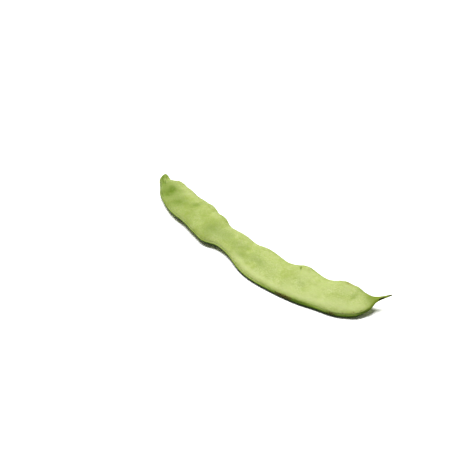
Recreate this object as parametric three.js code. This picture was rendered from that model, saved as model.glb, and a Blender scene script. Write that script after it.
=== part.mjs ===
// A flat bean: one fresh, broad, flat climbing-bean pod, picked whole and lying on a surface.
//
// The pod grew as one piece, so it is one closed solid. It is a surface of two parameters: the
// distance along the pod, from the stem end to the tip of the beak, and the angle round its
// flattened section. The back seam, which carries the seeds, waves out over each seed, and the
// belly seam is smoother. The pod bends like a sickle, lies flat at its stem end, arches a
// little, and leans on its belly seam towards the beak, where its underside is pressed flat.
//
// Millimetres, +Z up. z = 0 is the surface that the pod lies on, and the middle of the pod's
// outline is over the origin. +X runs from the stem end to the beak, +Y is the back seam's side.

import * as THREE from 'three';

// The middle line, from the stem end to the tip of the beak: x, y, z.
const MIDDLE_LINE = [
  [-99.4, 18.9, 4],
  [-90, 12, 3],
  [-72, 7.5, 3.4],
  [-46, 0.5, 4.3],
  [-20, -5, 4.9],
  [6, -6.1, 4.6],
  [32, -10.6, 4.4],
  [58, -8.4, 4.4],
  [78, -3.5, 4.5],
  [92.2, 5.4, 4.7],
  [97.9, 11.8, 7],
  [102.2, 18.1, 8.9],
];

// Tables of [distance along the middle line, value]. The last distance is the pod's length.
const LEAN_DEGREES = [[0, 0], [31, 1], [58, 3], [85, 7], [111, 11], [137, 14], [164, 16], [184, 16], [200, 13], [218, 8]];
const WIDTH = [
  [0, 2], [2, 4.2], [9, 8.4], [22, 18.6], [48, 25.1], [94, 16.9], [130, 24.1],
  [166, 23.7], [186, 20], [197, 21.4], [204.5, 12.1], [208.5, 4.5], [212, 2.1], [218, 0.7],
];
const THICKNESS = [[0, 1.8], [3, 3.6], [22, 6.8], [57, 8], [178, 8], [196, 7.2], [206, 3.2], [209, 2.2], [218, 0.8]];

// Waves of the two seams: where each is, how far it reaches along the pod, how far it moves the
// back seam outwards and upwards, and how far it moves the belly seam outwards.
const SEAM_WAVES = [
  { at: 5, reach: 4, back: 0, lift: 0, belly: 1.5 },
  { at: 14, reach: 7, back: 0, lift: 0, belly: -3 },
  { at: 16, reach: 7, back: 2.2, lift: 2, belly: 0 },
  { at: 41, reach: 7, back: -1.5, lift: 0, belly: 0 },
  { at: 61, reach: 7, back: 1, lift: 0.5, belly: -0.5 },
  { at: 80, reach: 9, back: 2, lift: 1.5, belly: 2 },
  { at: 88, reach: 6, back: -0.5, lift: 0, belly: 3 },
  { at: 114, reach: 8, back: -2, lift: -0.5, belly: 0 },
  { at: 146, reach: 7, back: -1, lift: 0, belly: -0.2 },
  { at: 160, reach: 7, back: 1.5, lift: 1.5, belly: 0 },
  { at: 188, reach: 7, back: 2.5, lift: 1.5, belly: 2 },
];
const FULL_WAVE_WIDTH = 22; // waves fade where the pod is narrower than this

// The seeds swell both faces a little, nearer to the back seam that they hang from.
const SEEDS_AT = [20, 40, 62, 85, 110, 135, 161, 187];
const SEED_HALF_LENGTH = 7.5;
const SEED_HALF_WIDTH = 0.42; // of the pod's half width
const SEED_OFFSET = 0.15; // towards the back seam, of the half width
const SEED_SWELL = 0.5;

// The section is a flattened oval: |across|^FLATNESS + |height|^2 = 1.
const FLATNESS = 3;
const RIM_CROWDING = 0.9; // below 1, points gather less at the two seams

const STATIONS = 112;
const SECTION_POINTS = 28;
const END_CROWDING = 0.5; // 0 spaces the stations evenly, towards 1 they gather at the ends
const END_DOME = 0.5; // how far the middle of each end stands out

const POD_GREEN = 0xb4c878;

const UP = new THREE.Vector3(0, 0, 1);

// A smooth curve through a table's rows that never swings past them: a cubic between each two
// rows, whose slope at a row is the harmonic mean of the slopes on its two sides.
function smoothTable(rows) {
  const steps = rows.slice(1).map(([at], i) => at - rows[i][0]);
  const slopes = rows.slice(1).map(([, value], i) => (value - rows[i][1]) / steps[i]);
  const tangents = rows.map((row, i) => {
    if (i === 0) return slopes[0];
    if (i === slopes.length) return slopes[i - 1];
    const [before, after] = [slopes[i - 1], slopes[i]];
    return before * after > 0 ? (2 * before * after) / (before + after) : 0;
  });
  return (at) => {
    const inside = THREE.MathUtils.clamp(at, rows[0][0], rows[rows.length - 1][0]);
    const next = rows.findIndex(([edge], k) => k > 0 && inside <= edge);
    const i = next - 1;
    const t = (inside - rows[i][0]) / steps[i];
    return rows[i][1] * (1 + 2 * t) * (1 - t) ** 2
      + tangents[i] * steps[i] * t * (1 - t) ** 2
      + rows[next][1] * t ** 2 * (3 - 2 * t)
      + tangents[next] * steps[i] * t ** 2 * (t - 1);
  };
}

const leanAt = smoothTable(LEAN_DEGREES);
const widthAt = smoothTable(WIDTH);
const thicknessAt = smoothTable(THICKNESS);
const tableLength = WIDTH[WIDTH.length - 1][0];

const middleLine = new THREE.CatmullRomCurve3(
  MIDDLE_LINE.map((point) => new THREE.Vector3(...point)),
  false,
  'centripetal',
);
middleLine.arcLengthDivisions = 2000;

const bell = (distance, centre, reach) => Math.exp(-(((distance - centre) / reach) ** 2));

// The section at a distance along the pod: its centre, the vector from there to the back seam,
// the direction across its thickness, and half that thickness.
function sectionAt(distance) {
  const along = middleLine.getTangentAt(distance / tableLength);
  const across = new THREE.Vector3().crossVectors(UP, along).normalize();
  across.applyAxisAngle(along, THREE.MathUtils.degToRad(leanAt(distance)));
  const rise = new THREE.Vector3().crossVectors(along, across);

  const halfWidth = widthAt(distance) / 2;
  const fade = Math.min(1, (2 * halfWidth) / FULL_WAVE_WIDTH);
  let [backReach, backLift, bellyReach] = [halfWidth, 0, halfWidth];
  for (const wave of SEAM_WAVES) {
    const amount = fade * bell(distance, wave.at, wave.reach);
    backReach += wave.back * amount;
    backLift += wave.lift * amount;
    bellyReach += wave.belly * amount;
  }

  const middle = middleLine.getPointAt(distance / tableLength);
  const back = middle.clone().addScaledVector(across, backReach).addScaledVector(rise, backLift);
  const belly = middle.clone().addScaledVector(across, -bellyReach);
  const toBack = back.clone().sub(belly).multiplyScalar(0.5);
  return {
    centre: back.clone().add(belly).multiplyScalar(0.5),
    toBack,
    rise: new THREE.Vector3().crossVectors(along, toBack).normalize(),
    halfThickness: thicknessAt(distance) / 2,
  };
}

// How much the seeds swell a face, at a distance along the pod and a place across it, which
// runs from -1 at the belly seam to 1 at the back seam.
function seedSwell(distance, across) {
  const sideways = bell(across, SEED_OFFSET, SEED_HALF_WIDTH);
  return SEEDS_AT.reduce((sum, at) => sum + SEED_SWELL * sideways * bell(distance, at, SEED_HALF_LENGTH), 0);
}

// One ring of points round the section, starting at the back seam. What would sink through the
// surface that the pod lies on is pressed flat against it.
function ringAt(distance) {
  const section = sectionAt(distance);
  return Array.from({ length: SECTION_POINTS }, (_, k) => {
    const angle = (2 * Math.PI * k) / SECTION_POINTS;
    const across = Math.sign(Math.cos(angle)) * Math.abs(Math.cos(angle)) ** RIM_CROWDING;
    const oval = Math.sign(Math.sin(angle)) * Math.sqrt(Math.max(0, 1 - Math.abs(across) ** FLATNESS));
    const height = oval * (section.halfThickness + seedSwell(distance, across));
    const point = section.centre.clone()
      .addScaledVector(section.toBack, across)
      .addScaledVector(section.rise, height);
    point.z = Math.max(0, point.z);
    return point;
  });
}

// Distance of a station: evenly spaced in the middle of the pod, closer together at its ends.
function stationDistance(station) {
  const t = station / (STATIONS - 1);
  return tableLength * (t - (END_CROWDING * Math.sin(2 * Math.PI * t)) / (2 * Math.PI));
}

// The closed skin: the rings joined by triangles, and a shallow fan over each end.
function podGeometry() {
  const rings = Array.from({ length: STATIONS }, (_, station) => ringAt(stationDistance(station)));
  const points = rings.flat();
  for (const [distance, outwards] of [[0, -1], [tableLength, 1]]) {
    const along = middleLine.getTangentAt(distance / tableLength);
    points.push(sectionAt(distance).centre.addScaledVector(along, outwards * END_DOME));
  }
  const [stemPole, beakPole] = [STATIONS * SECTION_POINTS, STATIONS * SECTION_POINTS + 1];

  const faces = [];
  for (let k = 0; k < SECTION_POINTS; k += 1) {
    const next = (k + 1) % SECTION_POINTS;
    for (let station = 0; station < STATIONS - 1; station += 1) {
      const near = station * SECTION_POINTS;
      const far = near + SECTION_POINTS;
      faces.push(near + k, near + next, far + next, near + k, far + next, far + k);
    }
    const last = (STATIONS - 1) * SECTION_POINTS;
    faces.push(stemPole, next, k);
    faces.push(beakPole, last + k, last + next);
  }

  const geometry = new THREE.BufferGeometry().setFromPoints(points);
  geometry.setIndex(faces);
  geometry.computeBoundingBox();
  const middle = geometry.boundingBox.getCenter(new THREE.Vector3());
  geometry.translate(-middle.x, -middle.y, 0);
  geometry.computeVertexNormals();
  return geometry;
}

const flatBean = new THREE.Group();
const pod = new THREE.Mesh(
  podGeometry(),
  new THREE.MeshStandardMaterial({ color: POD_GREEN, roughness: 0.5, metalness: 0 }),
);
pod.name = 'pod';
flatBean.add(pod);

export default flatBean;
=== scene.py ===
import math

import bpy
import numpy as np
from bpy.props import FloatProperty, FloatVectorProperty, IntProperty, PointerProperty
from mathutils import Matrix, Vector


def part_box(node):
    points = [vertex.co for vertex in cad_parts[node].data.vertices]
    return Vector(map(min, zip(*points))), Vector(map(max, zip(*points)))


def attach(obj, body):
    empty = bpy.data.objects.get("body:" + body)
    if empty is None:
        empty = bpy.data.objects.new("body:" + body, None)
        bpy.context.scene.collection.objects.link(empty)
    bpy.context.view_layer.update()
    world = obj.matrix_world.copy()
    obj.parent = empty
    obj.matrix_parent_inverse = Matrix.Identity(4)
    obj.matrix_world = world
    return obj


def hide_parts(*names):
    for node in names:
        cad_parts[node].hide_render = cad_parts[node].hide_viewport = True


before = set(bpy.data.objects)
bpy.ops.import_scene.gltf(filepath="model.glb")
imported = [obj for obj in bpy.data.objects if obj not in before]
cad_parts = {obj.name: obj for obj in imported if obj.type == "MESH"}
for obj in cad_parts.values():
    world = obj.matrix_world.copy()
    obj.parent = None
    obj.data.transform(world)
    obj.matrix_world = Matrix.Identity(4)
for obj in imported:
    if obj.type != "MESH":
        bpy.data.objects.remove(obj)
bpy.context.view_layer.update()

bl_info = {
    "name": "Flat Bean",
    "version": (1, 0, 0),
    "blender": (4, 5, 0),
    "location": "View3D > Sidebar > Flat Bean",
    "description": "Grows one flat bean pod over its packed solid and lights it on a pale floor",
    "category": "Add Mesh",
}

# The pod's own shape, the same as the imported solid's. Lengths here are millimetres, and MM turns
# them into metres once the surface is whole.
MM = 0.001

# The middle line, from the stem end to the tip of the beak: x, y, z.
MIDDLE_LINE = (
    (-99.4, 18.9, 4),
    (-90, 12, 3),
    (-72, 7.5, 3.4),
    (-46, 0.5, 4.3),
    (-20, -5, 4.9),
    (6, -6.1, 4.6),
    (32, -10.6, 4.4),
    (58, -8.4, 4.4),
    (78, -3.5, 4.5),
    (92.2, 5.4, 4.7),
    (97.9, 11.8, 7),
    (102.2, 18.1, 8.9),
)

# Rows of (distance along the pod, value). The last distance is the pod's length.
LEAN_DEGREES = (
    (0, 0), (31, 1), (58, 3), (85, 7), (111, 11), (137, 14), (164, 16), (184, 16), (200, 13), (218, 8),
)
WIDTH = (
    (0, 2), (2, 4.2), (9, 8.4), (22, 18.6), (48, 25.1), (94, 16.9), (130, 24.1),
    (166, 23.7), (186, 20), (197, 21.4), (204.5, 12.1), (208.5, 4.5), (212, 2.1), (218, 0.7),
)
THICKNESS = (
    (0, 1.8), (3, 3.6), (22, 6.8), (57, 8), (178, 8), (196, 7.2), (206, 3.2), (209, 2.2), (218, 0.8),
)
POD_LENGTH = WIDTH[-1][0]
LINE_SAMPLES = 4001  # points on the middle line that its length is measured through
SHORT_STEP = 0.02  # along the line to either side, for its direction

# Waves of the seams: where, reach along the pod, back seam outwards and upwards, belly seam outwards.
# They fade where the pod is narrower than FULL_WAVE_WIDTH.
SEAM_WAVES = (
    (5, 4, 0, 0, 1.5),
    (14, 7, 0, 0, -3),
    (16, 7, 2.2, 2, 0),
    (41, 7, -1.5, 0, 0),
    (61, 7, 1, 0.5, -0.5),
    (80, 9, 2, 1.5, 2),
    (88, 6, -0.5, 0, 3),
    (114, 8, -2, -0.5, 0),
    (146, 7, -1, 0, -0.2),
    (160, 7, 1.5, 1.5, 0),
    (188, 7, 2.5, 1.5, 2),
)
FULL_WAVE_WIDTH = 22

# The seeds swell both faces a little, nearer to the back seam that they hang from. The half width
# and the offset are shares of the pod's half width.
SEEDS_AT = (20, 40, 62, 85, 110, 135, 161, 187)
SEED_HALF_LENGTH = 7.5
SEED_HALF_WIDTH = 0.42
SEED_OFFSET = 0.15
SEED_SWELL = 0.5

FLATNESS = 3.0  # the power in the section's oval: 2 makes an ellipse, and more a flatter face
RIM_CROWDING = 0.9  # below 1, the points of a section gather more at its two seams
END_CROWDING = 0.5  # 0 spaces the sections evenly, and towards 1 they gather at the two ends
UPPER_SHARPNESS = 3  # how quickly what is only on the upper face rises from its seams
END_DOME = 0.4  # how far the middle of each end stands out
STEM_DOME_ROWS = 5
BEAK_DOME_ROWS = 3

# The relief is whole where the pod is this thick, and fades to LEAST_RELIEF of it where it is thin.
FULL_THICKNESS = 8
LEAST_RELIEF = 0.12

# The faces' ripple: the size of its waves and their share of its height. It fades within
# RIPPLE_MARGIN of a seam. OTHER_FACE sets the lower face's random draws apart from the upper's.
RIPPLES = ((17, 1.0), (8, 0.45), (3.6, 0.14))
RIPPLE_MARGIN = 4
OTHER_FACE = 50

# The puckers by the back seam: the distance that turns their sine by one radian, the strength and
# the like distance of the slow wave that makes them uneven, how far round a seed they are strong,
# how strong they are elsewhere, and their band, as the distance from the seam and half width.
PUCKER_PACE = 0.83
PUCKER_WANDER = (1.4, 6.1)
PUCKER_REACH = 6.0
PUCKER_LEAST = 0.35
PUCKER_BAND = (3.2, 2.2)

# Soft hollows of the upper face: distance along, distance from its middle towards the back seam,
# half length, half width and depth, in millimetres.
HOLLOWS = (
    (27, -3.8, 6.5, 4.0, 0.9),
    (43, -4.5, 6.0, 4.5, 0.4),
    (56, 3.0, 5.0, 4.5, 0.35),
    (98, -1.0, 7.0, 4.0, 0.3),
    (111, -1.6, 5.0, 3.5, 0.3),
    (135, -1.4, 6.0, 3.5, 0.5),
    (166, -0.5, 6.0, 4.0, 0.25),
    (193, 1.5, 5.5, 3.5, 0.4),
)

# Clouds of colour on the upper face: the same, with a strength in place of the depth. The skin is a deeper
# green where the strength is above nought, and paler where it is below. The clouds are partly the skin's
# own cloudy tone and partly painted shade, often over the hollows, and painted light where paler.
CLOUDS = (
    (6.5, -1.0, 3.0, 1.5, 0.35),
    (6.5, 2.0, 3.0, 1.2, -0.5),
    (14, -4.5, 4.0, 1.8, 0.35),
    (24, -3.5, 17.0, 7.5, 0.45),
    (24, -8.5, 4.0, 2.0, 0.2),
    (26, -2.0, 3.6, 3.2, 0.4),
    (29, -6.5, 5.0, 3.2, 0.4),
    (29, 6.0, 3.0, 2.2, -0.35),
    (31, 1.5, 5.0, 2.5, 0.15),
    (43, 4.0, 4.0, 2.5, -0.35),
    (45, -5.5, 5.5, 5.0, 0.45),
    (47, 7.5, 6.0, 2.2, -0.35),
    (50.5, 5.0, 1.8, 2.6, -0.5),
    (56, 2.5, 4.2, 4.0, 0.6),
    (62, 1.5, 5.0, 7.0, -0.3),
    (86, -2.0, 5.0, 7.0, 0.3),
    (99, -1.0, 13.0, 5.0, 0.36),
    (104, -8.5, 8.0, 1.8, -0.7),
    (105, 1.5, 3.0, 2.6, -0.3),
    (108, 5.5, 8.0, 2.0, -0.45),
    (116, 2.0, 3.0, 2.0, 0.1),
    (118, -6.0, 5.5, 2.4, 0.35),
    (119, 7.0, 5.0, 1.6, -0.5),
    (121, 0.0, 2.0, 2.4, -0.4),
    (127, -2.0, 13.0, 5.0, 0.28),
    (132, -6.0, 1.8, 2.4, -0.5),
    (134, -1.8, 5.0, 2.6, 0.2),
    (136, 7.2, 10.0, 1.8, -0.4),
    (142, -6.6, 1.4, 1.6, -0.5),
    (146, -4.0, 5.0, 4.0, 0.12),
    (150, 7.0, 5.0, 2.0, -0.4),
    (158, -3.0, 3.0, 2.5, -0.3),
    (161, -7.0, 4.5, 2.4, -0.85),
    (162, 2.8, 2.2, 2.2, -0.4),
    (163, 6.0, 6.5, 3.2, -0.9),
    (167, -2.4, 5.0, 3.4, 0.28),
    (172, -6.0, 2.0, 1.8, -0.6),
    (175, -2.5, 6.0, 4.5, -0.75),
    (178, 4.5, 5.0, 4.0, -0.7),
    (182, -7.5, 6.0, 2.5, -0.5),
    (190, -5.0, 8.0, 3.0, -0.5),
    (192, 4.0, 3.0, 3.4, -0.85),
    (192, -8.6, 5.0, 1.4, -0.4),
    (195, -7.6, 4.0, 1.7, -0.6),
    (195, 1.0, 4.5, 3.2, 0.35),
    (197, -1.2, 2.5, 2.6, 0.3),
    (199, -2.5, 4.0, 3.5, -0.35),
    (200, 7.0, 3.0, 2.4, 0.35),
    (201, -5.5, 3.5, 2.2, -0.5),
    (204, 6.0, 2.5, 1.6, 0.35),
    (207.5, 0.5, 3.5, 4.0, 0.6),
)

# Creases of the stem stub, on the upper face: where each starts and ends, as distance along and
# distance from the middle, its half width and its depth.
CREASES = (
    ((3.5, 1.4), (11.0, 0.6), 0.3, 0.08),
    ((4.0, -1.2), (15.0, -3.2), 0.75, 0.35),
    ((11.0, -1.0), (18.0, -3.8), 0.45, 0.2),
)

# Where each crease starts, is whole, starts to fade and is gone, as shares of its length.
CREASE_SPAN = (-0.15, 0.2, 0.7, 1.1)

# Dark brown marks by the belly seam, and lighter rusty ones above them: distance along, distance up
# the face from the widest line, half length, half width, and how strong.
BROWN_MARKS = (
    (155.8, 1.0, 2.0, 0.65, 0.85),
    (159.6, 0.9, 2.4, 0.55, 1.1),
    (163.6, 0.9, 2.2, 0.6, 0.75),
    (187.3, 0.9, 1.9, 0.6, 0.95),
)
RUST_MARKS = (
    (157.8, 1.6, 1.4, 0.45, 0.7),
    (160.8, 1.7, 2.4, 0.5, 0.75),
    (163.8, 1.7, 1.4, 0.4, 0.6),
    (187.8, 1.6, 2.0, 0.5, 0.65),
    (192.5, 2.2, 0.8, 0.35, 0.55),
    (197.0, 2.6, 1.2, 0.35, 0.45),
    (200.5, 2.0, 1.2, 0.4, 0.55),
)

# Distance along the pod and half length: the dried spot under the beak, and a rubbed, tan stretch of
# the back seam.
BEAK_SPOT = (212.0, 2.3)
TAN_EDGE = (192, 3.6)

# The nick: distance along, distance from the middle as a share of the half width, slant, half
# width and half length.
NICK_AT = 158.2
NICK_ASIDE = 0.66
NICK_SLANT = 0.7
NICK_HALF_WIDTH = 0.55
NICK_HALF_LENGTH = 2.3

# Bands of colour that run along a seam: distance up the face and half width. The distance is from
# the back seam or from the widest line by the belly seam, and the groove's is from its ridge.
STEM_MARGIN_BAND = (1.9, 0.55)
BACK_SEAM_BAND = (2.4, 0.9)
TAN_BAND = (3.6, 1.3)
SPOT_BAND = (0.45, 0.65)
GROOVE_BAND = (0.8, 0.3)
# The band of painted light above the belly rim, which makes the belly half of the face paler.
PAINTED_LIGHT_BAND = (4.2, 1.8)

# Where along the pod a band starts, is whole, starts to fade and is gone.
STEM_MARGIN_SPAN = (5, 12, 24, 34)
PAINTED_LIGHT_SPAN = (105, 128, 178, 190)
GROOVE_SPAN = (182, 192, 203, 206)
SHADE_SPAN = (30, 60, 207, 212)

# The painted shade under the belly rim is a little lighter round this distance along the pod.
SHADE_DIP_AT = 194
SHADE_DIP_REACH = 5
SHADE_DIP = 0.3

# Where the colours of the two ends rise or fade, between two distances along the pod. The deeper green and
# painted shade of the stem's half also fades across the face, between two distances from its middle.
STEM_FADES = (1, 13)
SCAR_FADES = (0, 1.2)
BEAK_RISES = (199, 210)
BEAK_TIP_RISES = (214.5, 217.5)
STEMWARD_FADES = (30, 130)
STEMWARD_FADES_ACROSS = (-4, 6)

# Distances up the face from the widest line by the belly seam, between which the brown marks and the
# painted shade under the belly seam rise.
MARKS_RISE = (-1.0, -0.2)
SHADE_RISES = (-2.8, -1.6)

# Shares of the dark rim's reach, between which the rim and the painted shade under it fade.
RIM_FADES = (0.8, 2.1)
SHADE_FADES = (0, 1.2)

# By the distance along the pod: how far above the widest line of the section the belly seam's ridge runs,
# how wide its dark rim is, partly painted shade, and how far the yellower green above the rim reaches.
SEAM_CLIMB = (
    (0, 0.2), (40, 0.2), (165, 0.4), (185, 0.65), (197, 0.65), (200.5, 0.25), (203, -0.3), (218, 0),
)
RIM_REACH = (
    (0, 0.3), (32, 0.35), (80, 0.35), (100, 0.28), (115, 0.4), (130, 0.4), (142, 0.45), (149, 0.65),
    (155, 0.85), (162, 1.05), (168, 1.3), (173, 1.05), (180, 0.7), (187, 0.95), (194, 0.75),
    (200, 0.7), (206, 0.5), (218, 0.3),
)
LIME_REACH = (
    (0, 0.5), (100, 0.75), (142, 1.2), (152, 1.8), (164, 2.3), (174, 2.6), (182, 2.0), (190, 1.9),
    (197, 1.8), (206, 1.1), (218, 0.5),
)


# ---------------------------------------------------------------------------------------------
# The pod as a surface of two parameters
# ---------------------------------------------------------------------------------------------

def bell(value, centre, reach):
    """A bell: 1 at centre, 1/e at one reach away."""
    return np.exp(-(((value - centre) / reach) ** 2))


def smooth_table(rows, at):
    """A smooth curve through the rows that never swings past them, at every value of `at`.

    Between each two rows it is a cubic, whose slope at a row is the harmonic mean of the straight
    slopes on the row's two sides, or nought where they differ in sign.
    """
    edge, value = np.array(rows, float).T
    step = np.diff(edge)
    slope = np.diff(value) / step
    before, after = slope[:-1], slope[1:]
    rising_on = before * after > 0
    tangent = np.zeros(len(edge))
    tangent[0], tangent[-1] = slope[0], slope[-1]
    tangent[1:-1][rising_on] = (2 * before * after)[rising_on] / (before + after)[rising_on]
    inside = np.clip(at, edge[0], edge[-1])
    i = np.clip(np.searchsorted(edge, inside) - 1, 0, len(step) - 1)
    t = (inside - edge[i]) / step[i]
    return (
        value[i] * (1 + 2 * t) * (1 - t) ** 2
        + tangent[i] * step[i] * t * (1 - t) ** 2
        + value[i + 1] * t**2 * (3 - 2 * t)
        + tangent[i + 1] * step[i] * t**2 * (t - 1)
    )


def middle_line(distance):
    """Points and directions on the middle line, at each distance along the pod.

    The line is a centripetal Catmull-Rom curve: between two points it is a cubic, whose slopes
    weigh the neighbouring chords by the square roots of their lengths. It is then walked at an
    even pace.
    """
    given = np.array(MIDDLE_LINE, float)
    points = np.vstack([2 * given[0] - given[1], given, 2 * given[-1] - given[-2]])
    place = np.linspace(0, len(given) - 1, LINE_SAMPLES)
    i = np.minimum(place.astype(int), len(given) - 2)
    t = (place - i)[:, None]
    p0, p1, p2, p3 = (points[i + k] for k in range(4))
    chords = (p1 - p0, p2 - p1, p3 - p2)
    d0, d1, d2 = (np.sqrt(np.linalg.norm(chord, axis=1))[:, None] for chord in chords)
    slope1 = ((p1 - p0) / d0 - (p2 - p0) / (d0 + d1) + (p2 - p1) / d1) * d1
    slope2 = ((p2 - p1) / d1 - (p3 - p1) / (d1 + d2) + (p3 - p2) / d2) * d1
    line = (
        p1 + slope1 * t
        + (3 * (p2 - p1) - 2 * slope1 - slope2) * t**2
        + (2 * (p1 - p2) + slope1 + slope2) * t**3
    )
    walked = np.append(0, np.cumsum(np.linalg.norm(np.diff(line, axis=0), axis=1)))
    reach = distance / POD_LENGTH * walked[-1]

    def at(length):
        return np.stack([np.interp(length, walked, line[:, k]) for k in range(3)], -1)

    ahead = at(np.minimum(reach + SHORT_STEP, walked[-1])) - at(np.maximum(reach - SHORT_STEP, 0))
    return at(reach), unit(ahead)


def unit(vectors):
    """The vectors at length 1."""
    return vectors / np.linalg.norm(vectors, axis=-1, keepdims=True)


def pod_sections(distance):
    """The section at each distance: its centre, the vector from there to the back seam, the
    direction across its thickness, and half that thickness.

    The back seam stands half a width to one side of the middle line and the belly seam half a
    width to the other, on a line that leans with the pod, and each wave adds a bell to them.
    """
    centre, along = middle_line(distance)
    level = unit(np.cross((0.0, 0.0, 1.0), along))
    lean = np.radians(smooth_table(LEAN_DEGREES, distance))[:, None]
    across = level * np.cos(lean) + np.cross(along, level) * np.sin(lean)
    rise = np.cross(along, across)
    half = smooth_table(WIDTH, distance) / 2
    fade = np.minimum(1, 2 * half / FULL_WAVE_WIDTH)
    back_reach, back_lift, belly_reach = half.copy(), np.zeros_like(half), half.copy()
    for at, reach, back_out, lift, belly_out in SEAM_WAVES:
        amount = fade * bell(distance, at, reach)
        back_reach += back_out * amount
        back_lift += lift * amount
        belly_reach += belly_out * amount
    back = centre + across * back_reach[:, None] + rise * back_lift[:, None]
    belly = centre - across * belly_reach[:, None]
    to_back = (back - belly) / 2
    face_up = unit(np.cross(along, to_back))
    return (back + belly) / 2, to_back, face_up, smooth_table(THICKNESS, distance) / 2


def smooth_pod(distance, turn):
    """The smooth pod: a grid of points, each column's place across, and each point's height.

    Each section is a flattened oval, |across|^FLATNESS + |height|^2 = 1, which starts at the back
    seam and goes over the upper face. Each seed swells both faces by a bell.
    """
    centre, to_back, rise, half_thickness = pod_sections(distance)
    across = np.sign(np.cos(turn)) * np.abs(np.cos(turn)) ** RIM_CROWDING
    oval = np.sign(np.sin(turn)) * np.sqrt(np.maximum(0, 1 - np.abs(across) ** FLATNESS))
    seeds = sum(bell(distance, at, SEED_HALF_LENGTH) for at in SEEDS_AT)
    swell = SEED_SWELL * seeds[:, None] * bell(across, SEED_OFFSET, SEED_HALF_WIDTH)
    height = oval * (half_thickness[:, None] + swell)
    points = centre[:, None] + to_back[:, None] * across[:, None] + rise[:, None] * height[..., None]
    return points, across, height


def station_distances(count):
    """Distances along the pod: widest apart in its middle and closer together at its ends."""
    t = np.linspace(0, 1, count)
    return POD_LENGTH * (t - END_CROWDING * np.sin(2 * np.pi * t) / (2 * np.pi))


def outward(points):
    """Directions straight out of a closed grid: the cross product of its two slopes."""
    around = np.roll(points, -1, axis=1) - np.roll(points, 1, axis=1)
    along = np.gradient(points, axis=0)
    return unit(np.cross(around, along))


def girth_from_seams(points):
    """How far each point is round the section from the back seam and from the belly seam, in
    millimetres: above nought on the upper face and below it on the lower."""
    steps = np.linalg.norm(np.roll(points, -1, axis=1) - points, axis=-1)
    girth = np.cumsum(steps, axis=1) - steps
    whole = steps.sum(axis=1, keepdims=True)
    belly = girth[:, [points.shape[1] // 2]]
    return np.where(girth < whole / 2, girth, girth - whole), belly - girth


def rises(value, low, high):
    """A smooth step: 0 below low, 1 above high."""
    t = np.clip((value - low) / (high - low), 0, 1)
    return t * t * (3 - 2 * t)


def falls(value, low, high):
    """A smooth step down: 1 below low, 0 above high."""
    return rises(-value, -high, -low)


def spans(value, start, whole, fading, gone):
    """A smooth stretch: 0 before start, 1 from whole to fading, and 0 again past gone."""
    return rises(value, start, whole) * falls(value, fading, gone)


# ---------------------------------------------------------------------------------------------
# Relief and marks, in millimetres
# ---------------------------------------------------------------------------------------------

def seam_relief(from_back, from_belly, slender, sizes):
    """The two seams. The back seam is a pair of low ridges with a fine line between them, and the
    belly seam one rounded ridge. A shallow groove parts each from the faces. The numbers are shares
    of a ridge's width and height and of a groove's depth."""
    width = sizes.seam_width / MM
    height = sizes.seam_height / MM
    groove = sizes.seam_groove / MM
    off_belly, off_back = np.abs(from_belly), np.abs(from_back)
    belly = height * bell(off_belly, 0, width) - groove * bell(off_belly, 2.1 * width, 0.7 * width)
    pair = 0.7 * height * bell(off_back, 0.9 * width, 0.6 * width)
    line = 0.35 * height * bell(off_back, 0, 0.4 * width)
    back = pair - line - 0.8 * groove * bell(off_back, 2.6 * width, 0.8 * width)
    return slender * (belly + back)


def random_waves(distance, lateral, size, seed, count=28):
    """Even, aimless waves about one size across: the sum of `count` cosines of the same strength,
    each with its own direction, length and phase. Its spread is about 1."""
    dice = np.random.default_rng(seed)
    turn = dice.uniform(0, np.pi, count)
    pace = 2 * np.pi / (size * dice.uniform(0.75, 1.5, count))
    phase = dice.uniform(0, 2 * np.pi, count)
    total = sum(
        np.cos(k * (distance * math.cos(a) + lateral * math.sin(a)) + shift)
        for a, k, shift in zip(turn, pace, phase)
    )
    return total * math.sqrt(2 / count)


def face_ripple(distance, lateral, side, sizes):
    """Low bumps and dips of the faces, in three sizes and different on the two faces."""
    waves = 0.0
    for size, share in RIPPLES:
        one_face = random_waves(distance, lateral, size, int(size))
        other_face = random_waves(distance, lateral, size, int(size) + OTHER_FACE)
        waves = waves + share * np.where(side > 0, one_face, other_face)
    return sizes.face_ripple / MM * waves


def puckers(distance, from_back, sizes):
    """Small tucks that run from the back seam into the faces, strongest over the seeds.

    Along the pod they are a sine, whose pace is made uneven by a slower one. Across it they are a
    bell a little way from the seam."""
    over_seeds = sum(bell(distance, at, PUCKER_REACH) for at in SEEDS_AT)
    wander, wander_pace = PUCKER_WANDER
    tuck = np.sin(distance / PUCKER_PACE + wander * np.sin(distance / wander_pace))
    band = bell(np.abs(from_back), *PUCKER_BAND)
    return sizes.pucker / MM * (PUCKER_LEAST + over_seeds) * tuck * band


def patches_of(rows, distance, aside):
    """The sum of a table's patches, each a bell along the pod and a bell across it."""
    total = np.zeros(np.broadcast(distance, aside).shape)
    for at, place, half_length, half_width, strength in rows:
        total += strength * bell(distance, at, half_length) * bell(aside, place, half_width)
    return total


def hollows(distance, lateral, upper):
    """How deep the soft hollows of the upper face are."""
    return patches_of(HOLLOWS, distance, lateral) * upper


def creases(distance, lateral, upper):
    """The stub's creases: how deep, and a mask that is 1 in the deepest, for the painted shade in them.

    Each is a bell across a straight line, and fades out over its two ends."""
    sunk, mask = 0.0, 0.0
    for (start, aside), (end, aside_end), half_width, depth in CREASES:
        part = (distance - start) / (end - start)
        line = aside + (aside_end - aside) * part
        one = bell(lateral, line, half_width) * spans(part, *CREASE_SPAN)
        sunk, mask = sunk + depth * one * upper, np.maximum(mask, one * upper)
    return sunk, mask


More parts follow.
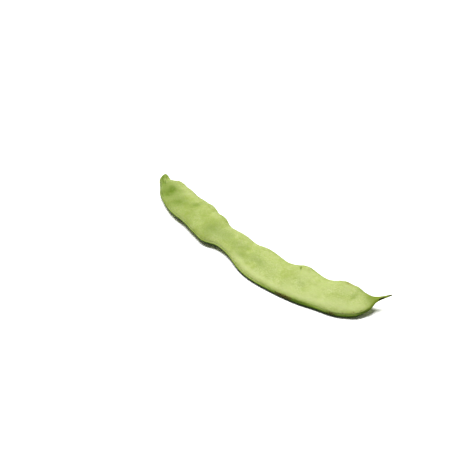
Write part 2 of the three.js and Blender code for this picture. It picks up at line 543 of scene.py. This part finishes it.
def nick(distance, lateral):
    """The nick in the upper face: a short slanting groove. 1 is its deepest."""
    half = np.interp(NICK_AT, *np.array(WIDTH, float).T) / 2
    ahead = distance - NICK_AT
    up = lateral - NICK_ASIDE * half
    across_it = bell(ahead + NICK_SLANT * up, 0, NICK_HALF_WIDTH)
    return across_it * bell(up - NICK_SLANT * ahead, 0, NICK_HALF_LENGTH)


def seam_marks(distance, from_back, from_belly):
    """Masks of the colours that run along the two seams, by attribute name, with painted shade on the rim
    and under it and a band of painted light above it.

    The rim's bands follow the distance from the belly seam as a share of the rim's own reach."""
    rim = from_belly / smooth_table(RIM_REACH, distance)
    lime = from_belly / smooth_table(LIME_REACH, distance)
    above_ridge = from_belly - smooth_table(SEAM_CLIMB, distance)
    # The underside below the belly seam is painted shade: dark green, a little lighter round SHADE_DIP_AT.
    dip = SHADE_DIP * bell(distance, SHADE_DIP_AT, SHADE_DIP_REACH)
    shaded = spans(distance, *SHADE_SPAN) * (1 - dip)
    below = falls(rim, *SHADE_FADES) * rises(from_belly, *SHADE_RISES)
    return {
        "back_seam": bell(from_back, *BACK_SEAM_BAND),
        "tan": bell(distance, *TAN_EDGE) * bell(from_back, *TAN_BAND),
        "stem_margin": bell(from_belly, *STEM_MARGIN_BAND) * spans(distance, *STEM_MARGIN_SPAN),
        # Painted light: a paler band above the belly rim.
        "belly_painted_light": bell(from_belly, *PAINTED_LIGHT_BAND) * spans(distance, *PAINTED_LIGHT_SPAN),
        "belly_lime": bell(lime, 0, 1),
        # The rim is partly the seam's own darker green and partly painted shade where the face turns from
        # the light.
        "belly_rim_and_shade": falls(np.abs(rim), *RIM_FADES),
        "belly_groove": bell(above_ridge, *GROOVE_BAND) * spans(distance, *GROOVE_SPAN),
        "belly_painted_shade": shaded * below,
    }


def face_marks(distance, lateral, from_belly, upper):
    """Masks of the clouds, partly painted shade and painted light, the stem half's deeper green with
    painted shade, the brown marks and the colours of the two ends, by attribute name.
    """
    clouds = patches_of(CLOUDS, distance, lateral) * upper
    off_the_lower_face = rises(from_belly, *MARKS_RISE)
    return {
        # Deeper clouds are partly painted shade, and paler ones partly painted light.
        "cloud_and_shade": np.maximum(clouds, 0),
        "paler_and_painted_light": np.maximum(-clouds, 0),
        # The stem's half: a deeper green, partly painted shade.
        "stemward_green_and_shade": falls(distance, *STEMWARD_FADES) * falls(lateral, *STEMWARD_FADES_ACROSS),
        "brown": patches_of(BROWN_MARKS, distance, from_belly) * off_the_lower_face,
        "rust": patches_of(RUST_MARKS, distance, from_belly) * off_the_lower_face,
        "spot": bell(distance, *BEAK_SPOT) * bell(from_belly, *SPOT_BAND),
        "beak": rises(distance, *BEAK_RISES),
        "beak_tip": rises(distance, *BEAK_TIP_RISES),
        "stem": falls(distance, *STEM_FADES),
        "scar": falls(distance, *SCAR_FADES),
    }


def finished_skin(distance, turn, sizes):
    """The skin without its ends, in millimetres: its points, those of the smooth pod below it, each
    point's place on the straightened pod, and its masks by name.

    `upper` is 1 on the upper face and fades to 0 at its seams, and `slender` weakens the relief
    towards the thin ends."""
    smooth, across, height = smooth_pod(distance, turn)
    along = distance[:, None]
    lateral = across * np.linalg.norm(pod_sections(distance)[1], axis=1)[:, None]
    from_back, from_belly = girth_from_seams(smooth)
    upper = np.clip(np.sin(turn) * UPPER_SHARPNESS, 0, 1)
    slender = np.clip(smooth_table(THICKNESS, along) / FULL_THICKNESS, LEAST_RELIEF, 1)
    off_belly = np.minimum(1, np.abs(from_belly) / RIPPLE_MARGIN)
    off_back = np.minimum(1, np.abs(from_back) / RIPPLE_MARGIN)
    nicked = nick(along, lateral) * upper
    creased, crease_mask = creases(along, lateral, upper)
    relief = (
        seam_relief(from_back, from_belly - smooth_table(SEAM_CLIMB, along), slender, sizes)
        + slender * off_belly * off_back * face_ripple(along, lateral, np.sin(turn), sizes)
        + slender * puckers(along, from_back, sizes)
        - hollows(along, lateral, upper)
        - creased
        - sizes.nick_depth / MM * nicked
    )
    skin = smooth + outward(smooth) * relief[..., None]
    skin[..., 2] = np.maximum(skin[..., 2], 0)
    masks = {
        **seam_marks(along, from_back, from_belly),
        **face_marks(along, lateral, from_belly, upper),
        "nick": nicked,
        "crease": crease_mask,
    }
    return skin, smooth, np.stack(np.broadcast_arrays(along, lateral, height), -1), masks


def end_cap(ring, outwards, rows, bulge):
    """A rounded cap over an end ring: rings that shrink by the cosine of an angle and stand out by
    its sine, and the point that closes them."""
    centre = ring.mean(axis=0)
    turn = np.linspace(0, np.pi / 2, rows + 2)[1:]
    shrink, stand = np.cos(turn)[:, None, None], np.sin(turn)[:, None, None]
    rings = centre + (ring - centre) * shrink + outwards * bulge * stand
    return rings[:-1], rings[-1].mean(axis=0)


def closed_mesh(name, rings, poles):
    """A mesh of rings joined by four-sided faces, with a fan of triangles over each end."""
    rows, columns = rings.shape[:2]
    grid = np.arange(rows * columns).reshape(rows, columns)
    turned = np.roll(grid, -1, axis=1)
    sides = np.stack([grid[:-1], turned[:-1], turned[1:], grid[1:]], -1).reshape(-1, 4)
    first, last = rows * columns, rows * columns + 1
    stem_fan = [(first, int(b), int(a)) for a, b in zip(grid[0], turned[0])]
    beak_fan = [(last, int(a), int(b)) for a, b in zip(grid[-1], turned[-1])]
    points = np.vstack([rings.reshape(-1, 3), poles])
    mesh = bpy.data.meshes.new(name)
    mesh.from_pydata(points.tolist(), [], sides.tolist() + stem_fan + beak_fan)
    mesh.shade_smooth()
    return mesh


def store(mesh, name, grid, poles, kind="FLOAT"):
    """Puts a value or a vector for each point into the mesh, as a named attribute."""
    attribute = mesh.attributes.new(name, kind, "POINT")
    width = 3 if kind == "FLOAT_VECTOR" else 1
    values = np.vstack([grid.reshape(-1, width), np.reshape(poles, (2, width))])
    attribute.data.foreach_set("vector" if width == 3 else "value", values.astype(np.float32).ravel())


# ---------------------------------------------------------------------------------------------
# Materials
# ---------------------------------------------------------------------------------------------

class Nodes:
    """Short calls that add a node, set its inputs and join it to others, in one node tree.

    The nodes are laid out in rows, in the order in which they are made."""

    PER_ROW = 12
    STEP = (180, -260)

    def __init__(self, tree):
        self.tree = tree
        self.made = 0

    def add(self, kind, inputs=(), **settings):
        """A new node with these settings, its inputs set or joined."""
        node = self.tree.nodes.new(kind)
        self.made += 1
        row, column = divmod(self.made, self.PER_ROW)
        node.location = (self.STEP[0] * column, self.STEP[1] * row)
        for key, value in settings.items():
            setattr(node, key, value)
        for socket, value in dict(inputs).items():
            self.feed(node.inputs[socket], value)
        return node

    def feed(self, socket, value):
        """Joins the socket to another one, or gives it a plain value."""
        if isinstance(value, bpy.types.NodeSocket):
            self.tree.links.new(value, socket)
        else:
            socket.default_value = value

    def mask(self, name):
        """A mask that the mesh holds."""
        return self.add("ShaderNodeAttribute", attribute_name=name).outputs["Fac"]

    def place(self, name):
        """A vector that the mesh holds."""
        return self.add("ShaderNodeAttribute", attribute_name=name).outputs["Vector"]

    def math(self, operation, a, b=0.0, c=0.0, clamp=False):
        """One step of arithmetic on up to three values, kept between 0 and 1 if clamped."""
        node = self.add("ShaderNodeMath", {0: a, 1: b, 2: c}, operation=operation, use_clamp=clamp)
        return node.outputs["Value"]

    def noise(self, place, scale, detail=3.0, roughness=0.5, distortion=0.0):
        """Cloudy noise, about 0.5 on average."""
        shape = {"Scale": scale, "Detail": detail, "Roughness": roughness, "Distortion": distortion}
        return self.add("ShaderNodeTexNoise", {"Vector": place, **shape}).outputs["Fac"]

    def between(self, value, low, high, to_low=0.0, to_high=1.0):
        """A smooth step from one value at low to another at high."""
        inputs = {"Value": value, "From Min": low, "From Max": high, "To Min": to_low, "To Max": to_high}
        return self.add("ShaderNodeMapRange", inputs, interpolation_type="SMOOTHSTEP").outputs["Result"]

    def blend(self, amount, first, second):
        """The first colour, turned into the second one by an amount from 0 to 1."""
        node = self.add("ShaderNodeMix", data_type="RGBA", blend_type="MIX", clamp_factor=True)
        self.feed(node.inputs["Factor"], amount)
        self.feed(node.inputs["A"], first)
        self.feed(node.inputs["B"], second)
        return node.outputs["Result"]

    def group(self, tree, inputs):
        """The outputs of a node group with these inputs."""
        node = self.add("ShaderNodeGroup", node_tree=tree)
        for name, value in inputs.items():
            self.feed(node.inputs[name], value)
        return node.outputs


def patches_group():
    """Soft patches: a mask from 0 to 1 that rises where slow noise passes a level.

    Stretch draws the patches out along the pod, and Softness widens their edges.
    """
    tree = bpy.data.node_groups.new("Soft patches", "ShaderNodeTree")
    tree.interface.new_socket("Place", in_out="INPUT", socket_type="NodeSocketVector")
    numbers = {"Size": 0.01, "Stretch": 1.0, "Level": 0.5, "Softness": 0.1, "Wander": 0.0}
    for name, default in numbers.items():
        socket = tree.interface.new_socket(name, in_out="INPUT", socket_type="NodeSocketFloat")
        socket.default_value = default
    tree.interface.new_socket("Mask", in_out="OUTPUT", socket_type="NodeSocketFloat")
    nodes = Nodes(tree)
    given = nodes.add("NodeGroupInput").outputs
    squeeze = nodes.math("DIVIDE", 1.0, given["Stretch"])
    scale = nodes.add("ShaderNodeCombineXYZ", {"X": squeeze, "Y": 1.0, "Z": 1.0}).outputs["Vector"]
    drawn = nodes.add("ShaderNodeVectorMath", {0: given["Place"], 1: scale}, operation="MULTIPLY")
    fineness = nodes.math("DIVIDE", 1.0, given["Size"])
    noise = nodes.noise(drawn.outputs["Vector"], fineness, 3.0, 0.55, given["Wander"])
    low = nodes.math("SUBTRACT", given["Level"], given["Softness"])
    high = nodes.math("ADD", given["Level"], given["Softness"])
    mask = nodes.between(noise, low, high)
    result = nodes.add("NodeGroupOutput")
    nodes.feed(result.inputs["Mask"], mask)
    return tree


def opaque(red_green_blue):
    """The colour with a fourth part of 1, as a colour socket takes it."""
    return (*red_green_blue, 1.0)


def skin_colour(nodes, skin, place, clouds, mottle, grain):
    """The skin's colour: layers, each over those before it where its mask shows it.

    The brown and rusty marks show where their mask and fine specks together pass a level, which
    makes their edges ragged."""

    def times(mask, amount):
        return nodes.math("MULTIPLY", mask, amount, clamp=True)

    def marked(name, amount=1.0):
        return times(nodes.mask(name), amount)

    cloudy = nodes.math("MULTIPLY", nodes.mask("cloud_and_shade"), nodes.between(mottle, 0, 1, 0.85, 1.15))
    ragged_rim = nodes.between(grain, 0, 1, 0.75, 1.0)
    worn = nodes.between(mottle, 0, 1, 0.3, 0.7)
    specks = nodes.between(nodes.noise(place, scale=1500, roughness=0.6), 0.36, 0.64, 0, 0.8)
    rusty = nodes.math("ADD", nodes.mask("rust"), specks)
    browned = nodes.math("ADD", nodes.mask("brown"), specks)
    layers = (
        (times(mottle, 0.28), skin.cream_and_painted_light),
        (times(grain, 0.45), skin.fleck),
        # Paler patches, partly painted light.
        (marked("paler_and_painted_light", 0.8), skin.pale),
        # The stem's half darker: its own deeper green and painted shade.
        (marked("stemward_green_and_shade", 0.3), skin.cloud_and_shade),
        # Deeper clouds, partly painted shade.
        (nodes.math("MINIMUM", cloudy, 0.95), skin.cloud_and_shade),
        # Painted light along the belly half, above the rim.
        (marked("belly_painted_light", 0.5), skin.cream_and_painted_light),
        (marked("back_seam", 0.4), skin.lime),
        (marked("belly_lime", ragged_rim), skin.lime),
        # The belly rim: its own darker green, partly painted shade.
        (marked("belly_rim_and_shade"), skin.rim),
        (marked("belly_groove", 0.7), skin.deep),
        # Painted shade under the belly seam.
        (marked("belly_painted_shade"), skin.deep),
        (marked("stem", 0.6), skin.stub),
        (marked("beak", 0.9), skin.beak),
        # Painted shade in the stub's creases.
        (marked("crease", 0.7), skin.rim),
        (marked("stem_margin", 0.45), skin.rim),
        (marked("nick"), skin.rim),
        (marked("tan", worn), skin.tan),
        (nodes.between(rusty, 0.85, 1.2, 0, 0.9), skin.rust),
        (nodes.between(browned, 0.85, 1.1), skin.brown),
        (nodes.between(nodes.mask("spot"), 0.35, 0.7), skin.dried),
        (marked("beak_tip", 0.7), skin.brown),
        (marked("scar", 0.5), skin.tan),
    )
    cloudiness = nodes.between(clouds, 0, 1, 0.15, 0.8)
    painted = nodes.blend(cloudiness, opaque(skin.face), opaque(skin.pale))
    for amount, layer in layers:
        painted = nodes.blend(amount, painted, opaque(layer))
    return painted


def skin_material(skin):
    """Fresh pod skin: pale cloudy green faces, darker seams and ends, and a few brown marks, with painted
    shade under the belly seam, on its rim, in hollows and creases and over the stem's half, and painted
    light along the belly half.
    """
    material = bpy.data.materials.new("pod_skin")
    material.use_nodes = True
    nodes = Nodes(material.node_tree)
    shader = material.node_tree.nodes["Principled BSDF"]
    patches = patches_group()
    place = nodes.place("pod_place")

    def patch(**values):
        return nodes.group(patches, {"Place": place, **values})["Mask"]

    clouds = patch(Size=0.0085, Stretch=1.3, Level=0.48, Softness=0.13, Wander=0.4)
    mottle = patch(Size=0.0022, Stretch=1.3, Level=0.5, Softness=0.2, Wander=0.3)
    grain = patch(Size=0.0008, Stretch=1.2, Level=0.5, Softness=0.18, Wander=0.0)
    pores = patch(Size=0.00045, Stretch=1.5, Level=0.5, Softness=0.2, Wander=0.0)
    fibres = patch(Size=0.0006, Stretch=6.0, Level=0.5, Softness=0.3, Wander=0.2)
    nodes.feed(shader.inputs["Base Color"], skin_colour(nodes, skin, place, clouds, mottle, grain))

    roughness = nodes.between(mottle, 0, 1, 0.46, 0.58)
    dull = nodes.math("MULTIPLY_ADD", nodes.mask("belly_rim_and_shade"), 0.25, roughness, clamp=True)
    nodes.feed(shader.inputs["Roughness"], dull)
    fine = nodes.math("MULTIPLY_ADD", pores, 0.22, nodes.math("MULTIPLY", fibres, 0.25))
    relief = nodes.math("MULTIPLY_ADD", mottle, 0.5, fine)
    bump = nodes.add("ShaderNodeBump", {"Height": relief, "Strength": 0.35, "Distance": 0.0002})
    nodes.feed(shader.inputs["Normal"], bump.outputs["Normal"])
    shader.inputs["IOR"].default_value = 1.45
    shader.inputs["Specular IOR Level"].default_value = 0.1
    shader.inputs["Subsurface Weight"].default_value = 0.2
    shader.inputs["Subsurface Radius"].default_value = (0.6, 1.0, 0.25)
    shader.inputs["Subsurface Scale"].default_value = 0.0012
    return material


def floor_material(floor_colour):
    """Plain matt white paper, with a trace of unevenness."""
    material = bpy.data.materials.new("studio_floor")
    material.use_nodes = True
    nodes = Nodes(material.node_tree)
    shader = material.node_tree.nodes["Principled BSDF"]
    place = nodes.add("ShaderNodeTexCoord").outputs["Object"]
    uneven = nodes.math("MULTIPLY", nodes.noise(place, scale=6.0, detail=2.0), 0.04)
    grey = (0.8, 0.8, 0.8)
    tone = nodes.blend(uneven, opaque(floor_colour), opaque(grey))
    nodes.feed(shader.inputs["Base Color"], tone)
    shader.inputs["Roughness"].default_value = 0.9
    shader.inputs["Specular IOR Level"].default_value = 0.1
    return material


# ---------------------------------------------------------------------------------------------
# Settings
# ---------------------------------------------------------------------------------------------

def length(name, description, default, top):
    return FloatProperty(name=name, description=description, default=default, min=0.0, max=top,
                         precision=5, unit="LENGTH", subtype="DISTANCE")


def amount(name, description, default):
    return FloatProperty(name=name, description=description, default=default, min=0.0)


def angle(name, description, degrees):
    return FloatProperty(name=name, description=description, default=math.radians(degrees), subtype="ANGLE")


def colour(name, description, default):
    return FloatVectorProperty(name=name, description=description, default=default, min=0.0, max=1.0,
                               size=3, subtype="COLOR")


class FLATBEAN_PG_pod(bpy.types.PropertyGroup):
    """Sizes of the pod's fine relief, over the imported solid's own shape"""
    rows: IntProperty(name="Rows", description="Sections along the pod", default=570, min=60, max=640)
    columns: IntProperty(name="Columns", description="Points round a section", default=160, min=32, max=168)
    seam_width: length("Seam width", "Half width of a seam's ridge", 0.00045, 0.003)
    seam_height: length("Seam height", "How far a seam's ridge stands out", 0.0003, 0.002)
    seam_groove: length("Seam groove", "Depth of the groove beside a seam", 0.0002, 0.001)
    face_ripple: length("Face ripple", "Height of the faces' low ripples", 0.00014, 0.001)
    pucker: length("Puckers", "Height of the tucks along the back seam", 0.00007, 0.0005)
    nick_depth: length("Nick", "Depth of the small nick in the upper face", 0.0004, 0.001)


class FLATBEAN_PG_skin(bpy.types.PropertyGroup):
    """Colours of the pod's skin"""
    face: colour("Face", "Main green of the faces", (0.222, 0.272, 0.06))
    # Pale also carries the painted light of the paler clouds.
    pale: colour("Pale", "Paler green, in soft patches of the faces", (0.325, 0.37, 0.14))
    # Cream paints the pale flecks, and the painted light above the belly rim.
    cream_and_painted_light: colour("Cream", "Palest flecks, and the pale band above the belly rim", (0.41, 0.452, 0.205))
    # This green is partly painted shade, in the clouds and in the hollows.
    cloud_and_shade: colour("Clouds", "Deeper green of cloudy patches and hollows", (0.075, 0.13, 0.002))
    lime: colour("Lime", "Stronger green where the face turns into the rim", (0.148, 0.228, 0.018))
    fleck: colour("Flecks", "Darker flecks of the grain of both faces", (0.17, 0.225, 0.026))
    # Rim is partly the belly seam's own darker green and partly painted shade; in the creases it is painted
    # shade.
    rim: colour("Rim", "Green of the belly rim, the creases and the nick", (0.065, 0.11, 0.006))
    # Deep paints the shade under the belly seam, and the dark line in the seam's groove.
    deep: colour("Deep", "Darkest green, below the belly seam and in its groove", (0.014, 0.032, 0.002))
    stub: colour("Stub", "Olive green of the stem stub", (0.105, 0.155, 0.02))
    beak: colour("Beak", "Olive green of the beak", (0.13, 0.175, 0.014))
    brown: colour("Brown", "Dark brown of the marks and of the beak's tip", (0.034, 0.023, 0.004))
    rust: colour("Rust", "Lighter rusty brown above the brown marks", (0.115, 0.078, 0.016))
    tan: colour("Tan", "Dull tan of the rubbed back seam and of the stem scar", (0.2, 0.16, 0.045))
    dried: colour("Dried", "Near black of the dried spot under the beak", (0.008, 0.007, 0.003))


class FLATBEAN_PG_studio(bpy.types.PropertyGroup):
    """Floor, lights and camera"""
    floor_size: length("Floor size", "Side of the square floor", 6.0, 20.0)
    floor_colour: colour("Floor", "Colour of the pale floor", (0.93, 0.93, 0.93))
    key_strength: amount("Key light", "Strength of the soft key light", 6.05)
    key_colour: colour("Key colour", "Colour of the key light", (1.0, 0.995, 0.98))
    key_softness: angle("Key softness", "Angle that the key light fills", 42)
    key_azimuth: angle("Key azimuth", "Direction of the key light round the pod", 278)
    key_elevation: angle("Key elevation", "Height of the key light", 79)
    sky_strength: amount("Sky", "Strength of the even light all round", 0.18)
    sky_colour: colour("Sky colour", "Colour of the even light, with a trace of green", (0.95, 1.0, 0.9))
    camera_azimuth: angle("Camera azimuth", "Direction of the camera round the pod", 49)
    camera_elevation: angle("Camera elevation", "Height of the camera", 30)
    camera_distance: length("Camera distance", "From the camera to the point that it looks at", 0.7, 5.0)
    camera_lens: amount("Lens", "Focal length in millimetres", 89.6)
    aim: FloatVectorProperty(name="Aim", description="Point looked at, from the middle of the pod's base",
                             default=(-0.0290, 0.0109, 0.0), size=3, subtype="TRANSLATION")


def direction(azimuth, elevation):
    """The unit vector towards a place round the pod: azimuth 0 is -Y, a quarter turn is +X."""
    level = math.cos(elevation)
    return Vector((math.sin(azimuth) * level, -math.cos(azimuth) * level, math.sin(elevation)))


# ---------------------------------------------------------------------------------------------
# Operators
# ---------------------------------------------------------------------------------------------

class FLATBEAN_OT_pod(bpy.types.Operator):
    """Grow the pod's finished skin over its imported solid"""
    bl_idname = "flatbean.pod"
    bl_label = "Grow the pod"

    def execute(self, context):
        sizes = context.scene.flatbean_pod
        distance = station_distances(sizes.rows)
        turn = 2 * np.pi * np.arange(sizes.columns) / sizes.columns
        skin, smooth, place, masks = finished_skin(distance, turn, sizes)

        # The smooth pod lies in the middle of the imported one's box, on the same floor.
        low, high = smooth.min(axis=(0, 1)), smooth.max(axis=(0, 1))
        corner_low, corner_high = (np.array(corner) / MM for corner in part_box("pod"))
        shift = (corner_low + corner_high - low - high) / 2
        shift[2] = 0.0
        skin = (skin + shift) * MM

        _, ahead = middle_line(np.array([0.0, POD_LENGTH]))
        stem_rings, stem_pole = end_cap(skin[0], -ahead[0], STEM_DOME_ROWS, END_DOME * MM)
        beak_rings, beak_pole = end_cap(skin[-1], ahead[1], BEAK_DOME_ROWS, END_DOME * MM)
        rings = np.concatenate([stem_rings[::-1], skin, beak_rings])
        mesh = closed_mesh("pod_skin", rings, [stem_pole, beak_pole])

        def store_with_caps(name, grid, kind="FLOAT"):
            """Each cap takes the values of the ring that it closes, and its pole their mean."""
            stem_part = np.repeat(grid[:1], len(stem_rings), axis=0)
            beak_part = np.repeat(grid[-1:], len(beak_rings), axis=0)
            poles = [grid[0].mean(axis=0), grid[-1].mean(axis=0)]
            store(mesh, name, np.concatenate([stem_part, grid, beak_part]), poles, kind)

        store_with_caps("pod_place", place * MM, "FLOAT_VECTOR")
        for name, mask in masks.items():
            store_with_caps(name, np.broadcast_to(mask, skin.shape[:2]))

        piece = bpy.data.objects.new("pod_skin", mesh)
        context.scene.collection.objects.link(piece)
        piece.data.materials.append(skin_material(context.scene.flatbean_skin))
        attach(piece, "root")
        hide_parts("pod")
        return {"FINISHED"}


class FLATBEAN_OT_studio(bpy.types.Operator):
    """Lay the pale floor and set up the lights and the camera"""
    bl_idname = "flatbean.studio"
    bl_label = "Set up the studio"

    def execute(self, context):
        scene = context.scene
        studio = scene.flatbean_studio
        low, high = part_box("pod")
        base = Vector(((low.x + high.x) / 2, (low.y + high.y) / 2, 0.0))

        half = studio.floor_size / 2
        corners = [(-half, -half, 0), (half, -half, 0), (half, half, 0), (-half, half, 0)]
        mesh = bpy.data.meshes.new("studio_floor")
        mesh.from_pydata([tuple(base + Vector(corner)) for corner in corners], [], [(0, 1, 2, 3)])
        mesh.materials.append(floor_material(studio.floor_colour))
        floor = bpy.data.objects.new("studio_floor", mesh)
        scene.collection.objects.link(floor)

        world = bpy.data.worlds.new("studio_sky")
        world.use_nodes = True
        sky = world.node_tree.nodes["Background"]
        sky.inputs["Color"].default_value = opaque(studio.sky_colour)
        sky.inputs["Strength"].default_value = studio.sky_strength
        scene.world = world

        lamp = bpy.data.lights.new("key_light", "SUN")
        lamp.energy = studio.key_strength
        lamp.angle = studio.key_softness
        lamp.color = studio.key_colour
        key = bpy.data.objects.new("key_light", lamp)
        towards = direction(studio.key_azimuth, studio.key_elevation)
        key.location = base + towards
        key.rotation_euler = towards.to_track_quat("Z", "Y").to_euler()
        scene.collection.objects.link(key)

        view = bpy.data.cameras.new("camera")
        view.lens = studio.camera_lens
        view.sensor_width = 36.0
        camera = bpy.data.objects.new("camera", view)
        back = direction(studio.camera_azimuth, studio.camera_elevation)
        camera.location = base + Vector(studio.aim) + back * studio.camera_distance
        camera.rotation_euler = back.to_track_quat("Z", "Y").to_euler()
        scene.collection.objects.link(camera)
        scene.camera = camera
        scene.view_settings.view_transform = "Standard"
        return {"FINISHED"}


class FLATBEAN_PT_panel(bpy.types.Panel):
    """The sidebar's list of steps and settings"""
    bl_idname = "FLATBEAN_PT_panel"
    bl_label = "Flat Bean"
    bl_space_type = "VIEW_3D"
    bl_region_type = "UI"
    bl_category = "Flat Bean"

    def draw(self, context):
        for operator, group in (
            ("flatbean.studio", context.scene.flatbean_studio),
            ("flatbean.pod", context.scene.flatbean_pod),
            (None, context.scene.flatbean_skin),
        ):
            box = self.layout.box()
            if operator:
                box.operator(operator)
            for name in group.__annotations__:
                box.prop(group, name)


CLASSES = (
    FLATBEAN_PG_pod,
    FLATBEAN_PG_skin,
    FLATBEAN_PG_studio,
    FLATBEAN_OT_pod,
    FLATBEAN_OT_studio,
    FLATBEAN_PT_panel,
)


def register():
    for cls in CLASSES:
        bpy.utils.register_class(cls)
    bpy.types.Scene.flatbean_pod = PointerProperty(type=FLATBEAN_PG_pod)
    bpy.types.Scene.flatbean_skin = PointerProperty(type=FLATBEAN_PG_skin)
    bpy.types.Scene.flatbean_studio = PointerProperty(type=FLATBEAN_PG_studio)


def unregister():
    del bpy.types.Scene.flatbean_studio
    del bpy.types.Scene.flatbean_skin
    del bpy.types.Scene.flatbean_pod
    for cls in reversed(CLASSES):
        bpy.utils.unregister_class(cls)


def main():
    register()
    bpy.ops.flatbean.studio()
    bpy.ops.flatbean.pod()
    bpy.context.view_layer.update()


if __name__ == "__main__":
    main()
